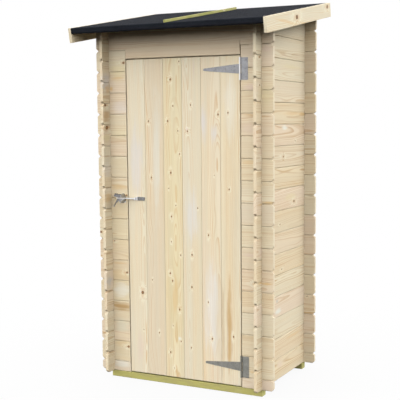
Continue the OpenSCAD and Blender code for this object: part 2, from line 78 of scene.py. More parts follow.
class Tree:
    """A short way to write a material's nodes: each call returns an output socket."""

    def __init__(self, name, data=None):
        self.material = data or bpy.data.materials.new(name)
        self.material.use_nodes = True
        self.nodes = self.material.node_tree.nodes
        self.links = self.material.node_tree.links
        self.shader = self.nodes.get("Principled BSDF")

    @classmethod
    def of_world(cls, name):
        bpy.context.scene.world = bpy.data.worlds.new(name)
        tree = cls(name, bpy.context.scene.world)
        tree.nodes.clear()
        tree.out = tree.add("ShaderNodeOutputWorld")
        return tree

    def add(self, kind, **properties):
        node = self.nodes.new(kind)
        for key, value in properties.items():
            setattr(node, key, value)
        return node

    def put(self, socket, value):
        if isinstance(value, bpy.types.NodeSocket):
            self.links.new(value, socket)
        elif value is not None:
            socket.default_value = value

    def math(self, operation, a, b=None, clamp=False):
        node = self.add("ShaderNodeMath", operation=operation, use_clamp=clamp)
        for socket, value in zip(node.inputs, (a, b)):
            self.put(socket, value)
        return node.outputs[0]

    def vmath(self, operation, a, b=None, scale=None):
        node = self.add("ShaderNodeVectorMath", operation=operation)
        self.put(node.inputs[0], a)
        self.put(node.inputs[1], b)
        self.put(node.inputs[3], scale)
        return node.outputs[1 if operation in ("LENGTH", "DOT_PRODUCT") else 0]

    def attribute(self, name, output="Vector"):
        return self.add("ShaderNodeAttribute", attribute_name=name).outputs[output]

    def split(self, vector):
        node = self.add("ShaderNodeSeparateXYZ")
        self.put(node.inputs[0], vector)
        return node.outputs

    def join(self, x, y, z):
        node = self.add("ShaderNodeCombineXYZ")
        for socket, value in zip(node.inputs, (x, y, z)):
            self.put(socket, value)
        return node.outputs[0]

    def noise(self, vector, scale, detail=2.0, rough=0.5, output="Fac"):
        node = self.add("ShaderNodeTexNoise")
        self.put(node.inputs["Vector"], vector)
        self.put(node.inputs["Scale"], scale)
        self.put(node.inputs["Detail"], detail)
        self.put(node.inputs["Roughness"], rough)
        return node.outputs[output]

    def cells(self, vector, scale):
        """A random colour for each cell."""
        node = self.add("ShaderNodeTexVoronoi")
        self.put(node.inputs["Vector"], vector)
        self.put(node.inputs["Scale"], scale)
        return node.outputs["Color"]

    def map(self, value, low, high, to_low=0.0, to_high=1.0, smooth=True):
        node = self.add(
            "ShaderNodeMapRange",
            clamp=True,
            interpolation_type="SMOOTHSTEP" if smooth else "LINEAR",
        )
        for socket, number in zip(node.inputs, (value, low, high, to_low, to_high)):
            self.put(socket, number)
        return node.outputs[0]

    def mix(self, factor, a, b, blend="MIX"):
        node = self.add("ShaderNodeMix", data_type="RGBA", blend_type=blend)
        colours = [s for s in node.inputs if s.type == "RGBA"]
        self.put(node.inputs[0], factor)
        self.put(colours[0], rgba(a))
        self.put(colours[1], rgba(b))
        return [s for s in node.outputs if s.type == "RGBA"][0]

    def mix_value(self, factor, a, b):
        node = self.add("ShaderNodeMix", data_type="FLOAT")
        for socket, value in zip(node.inputs, (factor, None, a, b)):
            self.put(socket, value)
        return node.outputs[0]

    def seen(self):
        """1 for rays by which the camera sees this, straight or in a gloss or a glass."""
        path = self.add("ShaderNodeLightPath").outputs
        either = self.math("MAXIMUM", path["Is Camera Ray"], path["Is Glossy Ray"])
        return self.math("MAXIMUM", either, path["Is Transmission Ray"])

    def bump(self, height, strength, distance):
        node = self.add("ShaderNodeBump")
        self.put(node.inputs["Strength"], strength)
        self.put(node.inputs["Distance"], distance)
        self.put(node.inputs["Height"], height)
        return node.outputs[0]

    def finish(self, colour=None, roughness=None, normal=None, **constants):
        for name, value in (("Base Color", colour), ("Roughness", roughness), ("Normal", normal)):
            self.put(self.shader.inputs[name], value)
        for name, value in constants.items():
            self.shader.inputs[name.replace("_", " ")].default_value = value
        return self.material


def rgba(colour):
    return colour if isinstance(colour, bpy.types.NodeSocket) else (*colour, 1.0)


# ---------------------------------------------------------------- materials

# A board's mesh carries its grain coordinates in metres (along, across, through), three
# random numbers, and the place, size and reach of the knot that each stretch of it has.


def board_sockets(t):
    """What dress() stored on a board, and how far a point is from its knot."""
    b = SimpleNamespace(grain=t.attribute("grain"))
    b.lot = t.split(t.attribute("lot"))
    b.shift = t.vmath("MULTIPLY", t.attribute("lot"), (31.0, 17.0, 23.0))
    b.u, b.v, b.w = t.split(b.grain)
    place_u, place_v, b.knot_radius = t.split(t.attribute("knot"))
    b.wobble = t.noise(t.vmath("ADD", b.grain, b.shift), 60.0, 3.0)
    b.du = t.math("MULTIPLY", t.math("SUBTRACT", b.u, place_u), 0.82)
    b.dv = t.math("SUBTRACT", b.v, place_v)
    away = t.vmath("LENGTH", t.join(b.du, b.dv, 0.0))
    uneven = t.math("ADD", away, t.map(b.wobble, 0.2, 0.8, -0.0016, 0.0016, False))
    b.radii = t.math("DIVIDE", uneven, b.knot_radius)
    near = t.math("DIVIDE", away, t.attribute("reach", "Fac"))
    b.flow = t.map(near, 0.10, 1.0, 1.0, 0.0)
    return b


def flecks(t, b, stretch, detail, rough=0.5, output="Fac"):
    """Noise in the board's own frame, stretched along the grain."""
    where = t.vmath("ADD", t.vmath("MULTIPLY", b.grain, stretch), b.shift)
    return t.noise(where, 1.0, detail, rough, output)


def late_wood(t, b, ring, wander):
    """Where the dark late wood is: rings about a pith that wanders along the board and
    swells round its knot."""
    path = t.split(flecks(t, b, (1.6, 7.0, 7.0), 2.0, output="Color"))
    pith_v = t.map(b.lot[0], 0.0, 1.0, -0.075, 0.075, False)
    pith_w = t.map(b.lot[1], 0.0, 1.0, 0.018, 0.090, False)
    stray_v = t.map(path[0], 0.25, 0.75, -0.014 * wander, 0.014 * wander, False)
    stray_w = t.map(path[1], 0.25, 0.75, -0.010 * wander, 0.010 * wander, False)
    rv = t.math("ADD", t.math("SUBTRACT", b.v, pith_v), stray_v)
    rw = t.math("ADD", t.math("ADD", b.w, pith_w), stray_w)
    radius = t.vmath("LENGTH", t.join(rv, rw, 0.0))
    taper = t.math("MULTIPLY", b.u, t.map(b.lot[2], 0.0, 1.0, -0.008, 0.012, False))
    swell = t.math("MULTIPLY", b.flow, t.math("MULTIPLY", b.knot_radius, 1.9))
    radius = t.math("ADD", t.math("ADD", radius, taper), swell)
    uneven = t.noise(t.join(t.math("MULTIPLY", radius, 260.0), 0.0, b.lot[2]), 1.0, 2.0)
    phase = t.math("ADD", t.math("DIVIDE", radius, ring), t.math("MULTIPLY", uneven, 1.6))
    saw = t.math("FRACT", phase)
    return t.math("MULTIPLY", t.map(saw, 0.35, 0.90), t.map(saw, 0.90, 1.0, 1.0, 0.0))


def body_colour(t, b, pale, warm, pink):
    """The early wood's colour: each board's own, with broad warmer streaks."""
    broad = flecks(t, b, (0.9, 7.0, 7.0), 2.0)
    body = t.mix(t.map(b.lot[1], 0.15, 0.85), pale, warm)
    body = t.mix(t.math("MULTIPLY", t.map(b.lot[2], 0.40, 0.90), 0.70), body, pink)
    return t.mix(t.math("MULTIPLY", t.map(broad, 0.45, 0.75), 0.45), body, warm)


def stained(t, b, colour, stains):
    """Soft ellipses of a tint, their edges torn along the grain."""
    where = t.add("ShaderNodeTexCoord").outputs["Object"]
    torn = flecks(t, b, (7.0, 55.0, 55.0), 3.0, 0.6)
    ragged = t.map(torn, 0.25, 0.75, -0.40, 0.40, False)
    for centre, radii, tint, strength in stains:
        off = t.vmath("MULTIPLY", t.vmath("SUBTRACT", where, centre), [1 / r for r in radii])
        far = t.math("ADD", t.vmath("LENGTH", off), ragged)
        colour = t.mix(t.map(far, 0.25, 1.15, strength, 0.0), colour, tint)
    return colour


def knotted(t, b, colour):
    """The knot: dark rim, brown core with rings of its own, milky and amber halo along the
    grain. Also gives where the knot is and its rings."""
    halo = t.vmath("LENGTH", t.join(t.math("MULTIPLY", b.du, 0.50), b.dv, 0.0))
    halo = t.math("DIVIDE", halo, b.knot_radius)
    milk = t.math("MULTIPLY", t.map(halo, 1.2, 5.0, 0.75, 0.0), t.map(b.wobble, 0.35, 0.62))
    colour = t.mix(milk, colour, (0.93, 0.87, 0.68))
    colour = t.mix(t.map(halo, 0.7, 2.3, 0.50, 0.0), colour, (0.72, 0.48, 0.24))
    rings = t.noise(t.join(t.math("MULTIPLY", b.radii, 5.0), b.lot[0], b.lot[1]), 1.0, 2.0)
    core = t.mix(rings, (0.23, 0.105, 0.045), (0.46, 0.26, 0.12))
    core = t.mix(t.map(b.radii, 0.50, 0.90), core, (0.10, 0.050, 0.026))
    inside = t.map(b.radii, 0.86, 1.14, 1.0, 0.0)
    return t.mix(inside, colour, core), inside, rings


def wood(name, pale, warm, pink, late, contrast=0.85, ring=0.0034, shade=0.10, wander=1.0,
         stains=(), mottle=None, gloss=0.08):
    """Planed softwood. ring is the rings' spacing in metres. wander says how far the pith
    leaves a straight line. stains are (centre, radii, colour, amount) in the row frame:
    heartwood streaks, pale sapwood and the like. mottle is a second colour in blotches."""
    t = Tree(name)
    b = board_sockets(t)
    late_line = late_wood(t, b, ring, wander)
    streak = flecks(t, b, (1.3, 26.0, 26.0), 3.0, 0.6)
    fibre = flecks(t, b, (14.0, 520.0, 520.0), 3.0, 0.6)

    body = body_colour(t, b, pale, warm, pink)
    own = t.map(b.lot[0], 0.0, 1.0, contrast * 0.45, contrast, False)
    own = t.math("MULTIPLY", own, t.map(b.flow, 0.0, 1.0, 1.0, 1.7, False), clamp=True)
    density = t.map(streak, 0.30, 0.75, 0.12, 1.0)
    amount = t.math("MULTIPLY", t.math("MULTIPLY", late_line, density), own)
    colour = t.mix(amount, body, t.mix(1.0, body, late, "MULTIPLY"))
    amber = t.math("MULTIPLY", t.map(streak, 0.62, 0.86), t.map(b.lot[2], 0.2, 0.9, 0.15, 0.6))
    colour = t.mix(amber, colour, t.mix(1.0, body, (0.95, 0.83, 0.62), "MULTIPLY"))
    if mottle:
        blotch = flecks(t, b, (9.0, 30.0, 30.0), 4.0, 0.6)
        colour = t.mix(t.map(blotch, 0.42, 0.66, 0.0, 0.75), colour, mottle)
    colour = stained(t, b, colour, stains)
    tone = t.map(streak, 0.25, 0.75, 1.0 - shade * 0.55, 1.0 + shade * 0.35, False)
    tone = t.math("MULTIPLY", tone, t.map(fibre, 0.25, 0.75, 0.965, 1.025, False))
    tone = t.math("MULTIPLY", tone, t.map(b.lot[0], 0.0, 1.0, 1.0 - shade * 0.5, 1.0, False))
    colour = t.vmath("SCALE", colour, scale=tone)
    colour, inside, core_rings = knotted(t, b, colour)

    # Eased edges are a little paler. Upward-facing chamfers of boards laid on edge are darkened:
    # painted shade. Saw cuts are paler, strongest on the ends of boards that run left to right:
    # real pale end grain with a painted highlight.
    edge = t.attribute("edge", "Fac")
    colour = t.mix(t.math("MULTIPLY", edge, 0.25), colour, pale)
    groove = t.map(t.attribute("groove", "Fac"), 0.0, 1.0, 1.0, 0.86, False)
    colour = t.vmath("SCALE", colour, scale=groove)
    cream = t.mix(1.0, pale, (1.05, 1.07, 1.12), "MULTIPLY")
    colour = t.mix(t.math("MULTIPLY", t.attribute("saw_cut_and_highlight", "Fac"), 0.62), colour, cream)

    height = t.math("ADD", t.math("MULTIPLY", late_line, 0.35), t.math("MULTIPLY", fibre, 0.55))
    height = t.math("ADD", height, t.math("MULTIPLY", inside, t.math("MULTIPLY", core_rings, 0.8)))
    rough = t.map(fibre, 0.2, 0.8, 0.56, 0.70, False)
    rough = t.math("ADD", rough, t.math("MULTIPLY", edge, 0.08))
    rough = t.math("SUBTRACT", rough, t.math("MULTIPLY", inside, 0.12))
    # Light that reaches other surfaces by way of the wood is held back, which keeps the
    # depth of the shade in the corners and under the eaves.
    bounce = t.add("ShaderNodeLightPath").outputs["Is Diffuse Ray"]
    colour = t.vmath("SCALE", colour, scale=t.map(bounce, 0.0, 1.0, 1.0, 0.50, False))
    return t.finish(colour, rough, t.bump(height, 0.5, 0.0004), Specular_IOR_Level=gloss)


def roofing_felt():
    t = Tree("roofing_felt")
    where = t.add("ShaderNodeTexCoord").outputs["Object"]
    grit = t.cells(where, 900.0)
    fine = t.noise(where, 1400.0, 2.0)
    cloud = t.noise(where, 9.0, 4.0, 0.6)
    colour = t.mix(t.split(grit)[0], (0.008, 0.0095, 0.013), (0.026, 0.029, 0.037))
    colour = t.mix(t.math("MULTIPLY", t.map(fine, 0.62, 0.80), 0.40), colour, (0.11, 0.115, 0.13))
    colour = t.vmath("SCALE", colour, scale=t.map(cloud, 0.25, 0.75, 0.80, 1.20, False))
    height = t.math("ADD", t.split(grit)[1], t.math("MULTIPLY", fine, 0.6))
    rough = t.map(cloud, 0.2, 0.8, 0.82, 0.95, False)
    return t.finish(colour, rough, t.bump(height, 0.8, 0.0006), Specular_IOR_Level=0.03)


def zinc(name, dull, bright, roughness=0.42, painted_highlight=None):
    """Zinc plate. The last argument is (axis, from, to): past that place along the axis the colour
    is bright, a painted highlight.
    """
    t = Tree(name)
    where = t.add("ShaderNodeTexCoord").outputs["Object"]
    spangle = t.split(t.cells(where, 260.0))[0]
    cloud = t.noise(where, 45.0, 3.0)
    scratch = t.noise(t.vmath("MULTIPLY", where, (40.0, 900.0, 900.0)), 1.0, 2.0)
    colour = t.mix(spangle, dull, bright)
    colour = t.vmath("SCALE", colour, scale=t.map(cloud, 0.3, 0.7, 0.88, 1.08, False))
    # Painted highlight: past the given place the colour is bright zinc.
    if painted_highlight:
        axis, start, end = painted_highlight
        colour = t.mix(t.map(t.split(where)[axis], start, end), colour, (0.84, 0.84, 0.85))
    rough = t.math("ADD", t.map(spangle, 0.0, 1.0, roughness - 0.06, roughness + 0.08, False),
                   t.map(scratch, 0.3, 0.7, -0.04, 0.06, False))
    height = t.math("ADD", t.math("MULTIPLY", spangle, 0.4), scratch)
    return t.finish(colour, rough, t.bump(height, 0.25, 0.0002), Metallic=1.0)


PINE_TONES = (0.855, 0.77, 0.58), (0.845, 0.735, 0.49), (0.85, 0.725, 0.55), (0.82, 0.63, 0.40)
DOOR_TONES = (0.885, 0.80, 0.615), (0.875, 0.765, 0.525), (0.88, 0.76, 0.585), (0.80, 0.60, 0.38)
WALL_TONES = (0.87, 0.775, 0.575), (0.865, 0.73, 0.51), (0.875, 0.72, 0.555), (0.70, 0.52, 0.31)
TREATED_TONES = (0.58, 0.555, 0.205), (0.50, 0.455, 0.145), (0.52, 0.49, 0.18), (0.70, 0.62, 0.36)
GREEN_TONES = (0.50, 0.51, 0.20), (0.42, 0.42, 0.14), (0.45, 0.44, 0.19), (0.70, 0.64, 0.42)
PINE = wood("pine", *PINE_TONES)
WALL_GRAIN = {"contrast": 1.05, "ring": 0.0040, "wander": 0.5}
WALL = wood("wall_pine", *WALL_TONES, **WALL_GRAIN)
# The roof boards and eaves battens are duller wood, their body colours darkened to 0.45: painted
# shade deep under the eaves.
SHADED_DECK_TONES = *([0.45 * c for c in tone] for tone in PINE_TONES[:3]), PINE_TONES[3]
SHADED_DECK = wood("roof_board_pine_painted_shade", *SHADED_DECK_TONES, gloss=0.0)
TREATED = wood("treated_pine", *TREATED_TONES, contrast=1.1, mottle=(0.44, 0.39, 0.17))
GREEN = wood("green_pine", *GREEN_TONES, mottle=(0.52, 0.47, 0.22))
FELT = roofing_felt()

PLATE = 0.002  # thickness of the hinges' and the latch's sheet steel
STRIKER_PLATE_L = 0.052
hinge_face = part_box("hinge_leaf_upper")[1][1] - PLATE
collar_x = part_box("latch_striker")[1][0] - STRIKER_PLATE_L
ZINC = zinc("galvanised_steel", (0.275, 0.275, 0.285), (0.36, 0.36, 0.375))
# The upper hinge's knuckles are bright where they stand out in front of the plate: a painted
# highlight.
HIGHLIT_KNUCKLE_ZINC = zinc("galvanised_hinge_painted_highlight", (0.275, 0.275, 0.285), (0.36, 0.36, 0.375),
                    painted_highlight=(1, hinge_face - 0.0003, hinge_face - 0.0010))
OLIVE_ZINC = zinc("galvanised_weathered", (0.225, 0.223, 0.20), (0.30, 0.295, 0.27), 0.46)
LIGHT_ZINC = zinc("galvanised_new", (0.42, 0.42, 0.43), (0.62, 0.62, 0.63), 0.34)
# The striker's bar beyond its collar is bright: a painted highlight.
HIGHLIT_STRIKER_ZINC = zinc("galvanised_striker_painted_highlight", (0.215, 0.215, 0.215), (0.29, 0.29, 0.29),
                    painted_highlight=(0, collar_x + 0.009, collar_x + 0.008))
DARK_ZINC = zinc("galvanised_dark", (0.19, 0.19, 0.20), (0.30, 0.30, 0.31), 0.5)


# ---------------------------------------------------------------- wooden pieces


def islands(bm):
    """The loose solids of a mesh, each as a list of vertices, in a fixed order."""
    seen, found = set(), []
    for start in bm.verts:
        if start in seen:
            continue
        seen.add(start)
        group, queue = [], [start]
        while queue:
            vert = queue.pop()
            group.append(vert)
            for edge in vert.link_edges:
                other = edge.other_vert(vert)
                if other not in seen:
                    seen.add(other)
                    queue.append(other)
        found.append(group)
    return found


def board_axes(group, along):
    """Unit vectors along, across and through one board."""
    faces = {f for v in group for f in v.link_faces}
    out = max(faces, key=lambda f: f.calc_area()).normal.copy()
    if along is None:
        edges = {e for v in group for e in v.link_edges}
        longest = max(edges, key=lambda e: e.calc_length())
        along = (longest.verts[1].co - longest.verts[0].co).normalized()
    if max(along, key=abs) < 0:
        along = -along
    if max(out, key=abs) < 0:
        out = -out
    return along, out.cross(along).normalized(), out


EASED = 0.0008  # how far a board's edges are planed off
WELD = 0.00002
DRAWS = 40  # random numbers for each board, the last three for its colour and pith
NO_KNOT_RADIUS = 0.005
KNOT_REACH = 6.0  # how far the grain bends round a knot, in its radii
SAWN_DEPTH = 0.004  # faces this near a board's end are its saw cut
BEYOND = 9.0  # past the end of any board


def eased(node):
    """A node's mesh with its sharp edges planed off, and the new faces marked."""
    bm = bmesh.new()
    bm.from_mesh(frame["nodes"][node].data)
    bmesh.ops.remove_doubles(bm, verts=bm.verts, dist=WELD)
    bmesh.ops.dissolve_limit(bm, angle_limit=math.radians(1), verts=bm.verts, edges=bm.edges)
    bm.normal_update()
    edge_layer = bm.faces.layers.float.new("edge")
    corner = math.radians(28)
    sharp = [e for e in bm.edges if len(e.link_faces) == 2 and e.calc_face_angle(0) > corner]
    made = bmesh.ops.bevel(
        bm, geom=sharp, offset=EASED, segments=2, profile=0.6, affect="EDGES",
        clamp_overlap=True, material=-1,
    )
    for face in made["faces"]:
        face[edge_layer] = 1.0
    return bm


def set_knots(knots, axes, centre, half):
    """The given knots that are on this board, as (along, across, radius) from its middle."""
    found = []
    for point, radius in knots:
        at = [point.dot(a) - c for a, c in zip(axes, centre)]
        if all(abs(x) <= h + 0.002 for x, h in zip(at, half)):
            found.append((at[0], at[1], radius))
    return found


def seeded_knots(draws, half, every, size):
    """Knots along a board, about so far apart. A clear board's knot is a metre off its end."""
    step = every * (0.6 + 0.8 * draws[0])
    place = -half[0] + step * draws[1]
    found = []
    k = 2
    while place < half[0] and k < DRAWS - 2:
        radius = size[0] + (size[1] - size[0]) * draws[k] ** 2
        found.append((place, (2 * draws[k + 1] - 1) * half[1] * 0.8, radius))
        place += step * (0.5 + draws[k + 2])
        k += 3
    return found or [(half[0] + 1.0, 0.0, NO_KNOT_RADIUS)]


def part_board(bm, group, u_axis, places):
    """Cuts a board's faces at places along it, without parting the solid."""
    for place in places:
        verts = set(group)
        geom = list(verts) + list({e for v in verts for e in v.link_edges})
        geom += list({f for v in verts for f in v.link_faces})
        new = bmesh.ops.bisect_plane(
            bm, geom=geom, dist=0.000001, plane_co=u_axis * place, plane_no=u_axis
        )
        group = group + [g for g in new["geom_cut"] if isinstance(g, bmesh.types.BMVert)]
    return group


body_of = {n: b for b, names in frame["record"]["behaviour"]["bodies"].items() for n in names}


def dress(node, material, along=None, knots=(), every=0.42, size=(0.004, 0.009), lots=()):
    """A detailed copy of a wooden CAD node that stands for it: eased edges, and on each
    board its own grain, colour and knots. knots are (point, radius) in the row frame. lots
    gives the first boards their numbers: the pith's place, warmth, pinkness."""
    bm = eased(node)
    grain = bm.verts.layers.float_vector.new("grain")
    lot = bm.faces.layers.float_vector.new("lot")
    knot = bm.faces.layers.float_vector.new("knot")
    reach = bm.faces.layers.float.new("reach")
    saw_cut_and_highlight = bm.faces.layers.float.new("saw_cut_and_highlight")
    groove = bm.faces.layers.float.new("groove")
    rng = random.Random(node)
    lots = iter(lots)
    for group in islands(bm):
        axes = board_axes(group, along)
        u_axis, _, w_axis = axes
        spans = [(min(v.co.dot(a) for v in group), max(v.co.dot(a) for v in group)) for a in axes]
        centre = [sum(s) / 2 for s in spans]
        half = [(s[1] - s[0]) / 2 for s in spans]
        draws = [rng.random() for _ in range(DRAWS)]
        own = set_knots(knots, axes, centre, half) or seeded_knots(draws, half, every, size)
        own.sort()
        cuts = [(a[0] + b[0]) / 2 for a, b in zip(own, own[1:])]
        group = part_board(bm, group, u_axis, [centre[0] + cut for cut in cuts])
        values = Vector(next(lots, draws[-3:]))
        bounds = [-BEYOND, *cuts, BEYOND]
        # Saw-cut ends: pale end grain, strong on boards running left to right as a painted
        # highlight, faint on the others.
        end_grain_and_highlight = 0.9 if abs(u_axis.x) > 0.9 else 0.15
        lying = abs(u_axis.z) < 0.1 and abs(w_axis.z) < 0.1
        for vert in group:
            vert[grain] = [vert.co.dot(a) - c for a, c in zip(axes, centre)]
        for face in {f for v in group for f in v.link_faces}:
            at = face.calc_center_median().dot(u_axis) - centre[0]
            i = next(k for k in range(len(own)) if bounds[k] <= at <= bounds[k + 1])
            room = min(own[i][0] - bounds[i], bounds[i + 1] - own[i][0])
            end = abs(at) > half[0] - SAWN_DEPTH and abs(face.normal.dot(u_axis)) > 0.9
            face[lot] = values
            face[saw_cut_and_highlight] = end_grain_and_highlight if end else 0.0
            # Upward-facing chamfers of boards laid on edge, to be darkened: painted shade.
            face[groove] = 1.0 if lying and 0.3 < face.normal.z < 0.9 else 0.0
            face[knot] = own[i]
            face[reach] = min(room, own[i][2] * KNOT_REACH)
    mesh = bpy.data.meshes.new(node + "_wood")
    bm.to_mesh(mesh)
    bm.free()
    mesh.materials.append(material)
    piece = bpy.data.objects.new(node + "_wood", mesh)
    bpy.context.scene.collection.objects.link(piece)
    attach(piece, body_of[node])
    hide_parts(node)


def on_front(node, x, z):
    """A point of a piece that faces the front: metres from its box's lower left corner."""
    low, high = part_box(node)
    return Vector((low[0] + x, (low[1] + high[1]) / 2, low[2] + z))


def on_side(node, y, z):
    """The same on a piece that faces a side: metres from its box's lower front corner."""
    low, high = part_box(node)
    return Vector(((low[0] + high[0]) / 2, low[1] + y, low[2] + z))


def large_knots(node, place):
    return [(place(node, a, z), radius) for a, z, radius in LARGE_KNOTS.get(node, ())]


def door_knots():
    """Seeded knots, spread evenly up each board of the door."""
    rng = random.Random("door_knots")
    low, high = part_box("door_boards")
    found = large_knots("door_boards", on_front)
    for board, count in enumerate(DOOR_KNOTS_A_BOARD):
        for k in range(count):
            x = DOOR_BOARD_W * (board + rng.uniform(0.12, 0.88))
            z = (high[2] - low[2]) * (k + rng.uniform(0.1, 0.9)) / count
            radius = rng.uniform(0.0018, 0.0044)
            found.append((on_front("door_boards", x, z), radius))
    return found


def streaks(place, node, table):
    """Stains from a table of place, half size along the piece and upwards, colour, amount."""
    found = []
    for a, z, half_a, half_z, tint, amount in table:
        flat = place is on_front
        radii = (half_a, STAIN_DEPTH, half_z) if flat else (STAIN_DEPTH, half_a, half_z)
        found.append((place(node, a, z), radii, tint, min(amount * STAIN_GAIN, STAIN_MOST)))
    return found


LILAC, MILKY, AMBER = (0.80, 0.76, 0.74), (0.90, 0.87, 0.76), (0.80, 0.56, 0.27)
YELLOW, ROSY, GREYISH = (0.84, 0.72, 0.44), (0.84, 0.66, 0.54), (0.62, 0.57, 0.48)
HONEY, BLUSH = (0.82, 0.64, 0.38), (0.92, 0.80, 0.74)
RUSSET, BROWN = (0.66, 0.46, 0.26), (0.56, 0.36, 0.19)
STAIN_GAIN, STAIN_MOST = 1.25, 0.95
STAIN_DEPTH = 0.05  # half size through the board

# How many small knots each door board has, from the latch side: the third is the knotty one.
DOOR_BOARD_W = 0.111
DOOR_KNOTS_A_BOARD = (1, 4, 19, 6, 5, 3)

# The few large knots, to the nearest centimetre: place along the piece and up from its
# lower corner, and radius.
LARGE_KNOTS = {
    "door_boards": [(0.08, 0.44, 0.0072)],
    "wall_front_left": [(0.17, 0.55, 0.0052), (0.17, 0.14, 0.0052), (0.17, 1.67, 0.0052)],
    "wall_right": [(0.49, 0.93, 0.0070)],
    "wall_left": [(0.02, 1.45, 0.0075), (0.03, 1.33, 0.0095)],
    "barge_board_right": [(0.38, 0.11, 0.0110), (0.82, 0.21, 0.0095)],
}

# Stains: place along the piece and up from its lower corner, half size both
# ways, tint, amount.
DOOR_STAINS = [
    (0.055, 1.145, 0.050, 0.210, LILAC, 0.45), (0.460, 1.340, 0.022, 0.120, LILAC, 0.55),
    (0.517, 1.290, 0.024, 0.060, LILAC, 0.50),
    (0.385, 0.870, 0.048, 0.170, (0.84, 0.82, 0.79), 0.45),
    (0.500, 0.385, 0.052, 0.290, (0.86, 0.82, 0.76), 0.55),
    (0.600, 0.300, 0.017, 0.330, (0.64, 0.41, 0.18), 0.76),
    (0.561, 0.290, 0.014, 0.300, (0.68, 0.50, 0.29), 0.45),
    (0.610, 0.850, 0.050, 0.900, (0.74, 0.59, 0.38), 0.28),
    (0.277, 0.400, 0.055, 0.300, (0.74, 0.60, 0.34), 0.42),
    (0.277, 0.800, 0.060, 0.900, YELLOW, 0.35), (0.281, 0.425, 0.026, 0.110, AMBER, 0.40),
    (0.305, 0.211, 0.012, 0.014, MILKY, 0.85), (0.068, 0.444, 0.012, 0.012, BLUSH, 0.90),
    (0.062, 0.140, 0.030, 0.100, ROSY, 0.35), (0.362, 1.313, 0.012, 0.020, BLUSH, 0.60),
    (0.404, 1.617, 0.006, 0.070, ROSY, 0.55), (0.390, 0.870, 0.0016, 0.900, AMBER, 0.30),
    (0.180, 1.180, 0.030, 0.360, MILKY, 0.45), (0.610, 1.450, 0.040, 0.200, MILKY, 0.40),
]
# The boards left of the door: the log ends beyond the corner come first, 64 mm of them.
LEFT_STAINS = [
    (0.140, 0.500, 0.130, 0.620, (0.80, 0.65, 0.38), 0.34),
    (0.130, 0.535, 0.080, 0.036, HONEY, 0.60), (0.135, 0.455, 0.070, 0.048, MILKY, 0.50),
    (0.128, 0.362, 0.100, 0.026, (0.56, 0.36, 0.16), 0.74),
    (0.135, 0.150, 0.070, 0.034, HONEY, 0.60), (0.130, 0.042, 0.070, 0.024, MILKY, 0.55),
    (0.130, 0.255, 0.060, 0.050, (0.78, 0.74, 0.58), 0.50),
    (0.150, 1.440, 0.070, 0.045, (0.84, 0.75, 0.66), 0.50),
    (0.130, 0.598, 0.060, 0.006, AMBER, 0.45), (0.140, 1.630, 0.080, 0.060, YELLOW, 0.55),
    (0.130, 1.590, 0.050, 0.010, AMBER, 0.45), (0.140, 1.290, 0.080, 0.045, YELLOW, 0.40),
    (0.140, 1.140, 0.080, 0.040, (0.84, 0.70, 0.46), 0.45),
    (0.130, 1.015, 0.070, 0.020, AMBER, 0.40),
    (0.140, 0.700, 0.080, 0.045, (0.85, 0.72, 0.48), 0.45),
    (0.090, 1.535, 0.016, 0.016, AMBER, 0.70),
    (0.140, 1.770, 0.060, 0.020, (0.70, 0.48, 0.30), 0.45),
]
RIGHT_STAINS = [
    (0.060, 1.528, 0.060, 0.022, ROSY, 0.65), (0.040, 1.330, 0.050, 0.030, ROSY, 0.30),
    (0.055, 1.157, 0.050, 0.010, AMBER, 0.35), (0.150, 0.957, 0.045, 0.009, AMBER, 0.60),
    (0.131, 0.550, 0.036, 0.008, AMBER, 0.65), (0.056, 0.088, 0.014, 0.010, AMBER, 0.50),
    (0.050, 0.690, 0.050, 0.012, ROSY, 0.30), (0.135, 0.020, 0.040, 0.040, ROSY, 0.25),
    (0.140, 1.480, 0.045, 0.075, YELLOW, 0.45), (0.140, 1.715, 0.030, 0.020, ROSY, 0.45),
]
SIDE_STAINS = [
    (0.460, 1.400, 0.190, 0.012, AMBER, 0.42), (0.600, 1.397, 0.050, 0.012, AMBER, 0.60),
    (0.360, 1.325, 0.045, 0.018, MILKY, 0.70), (0.510, 0.196, 0.190, 0.010, AMBER, 0.42),
    (0.270, 0.366, 0.048, 0.016, MILKY, 0.90), (0.258, 0.425, 0.020, 0.012, GREYISH, 0.55),
    (0.385, 0.420, 0.026, 0.012, (0.76, 0.62, 0.42), 0.50),
    (0.440, 1.645, 0.140, 0.016, YELLOW, 0.40),
    (0.455, 1.711, 0.210, 0.003, (0.52, 0.34, 0.18), 0.45),
    (0.455, 1.698, 0.210, 0.003, (0.60, 0.38, 0.20), 0.35),
    (0.300, 0.080, 0.050, 0.030, ROSY, 0.35), (0.606, 0.110, 0.030, 0.024, AMBER, 0.35),
    (0.440, 0.955, 0.110, 0.030, YELLOW, 0.45), (0.063, 0.950, 0.050, 0.008, AMBER, 0.55),
    (0.063, 0.555, 0.050, 0.007, AMBER, 0.60), (0.063, 0.710, 0.050, 0.030, ROSY, 0.30),
    (0.063, 1.215, 0.050, 0.026, (0.80, 0.62, 0.46), 0.45),
    (0.063, 1.510, 0.050, 0.050, YELLOW, 0.45),
]
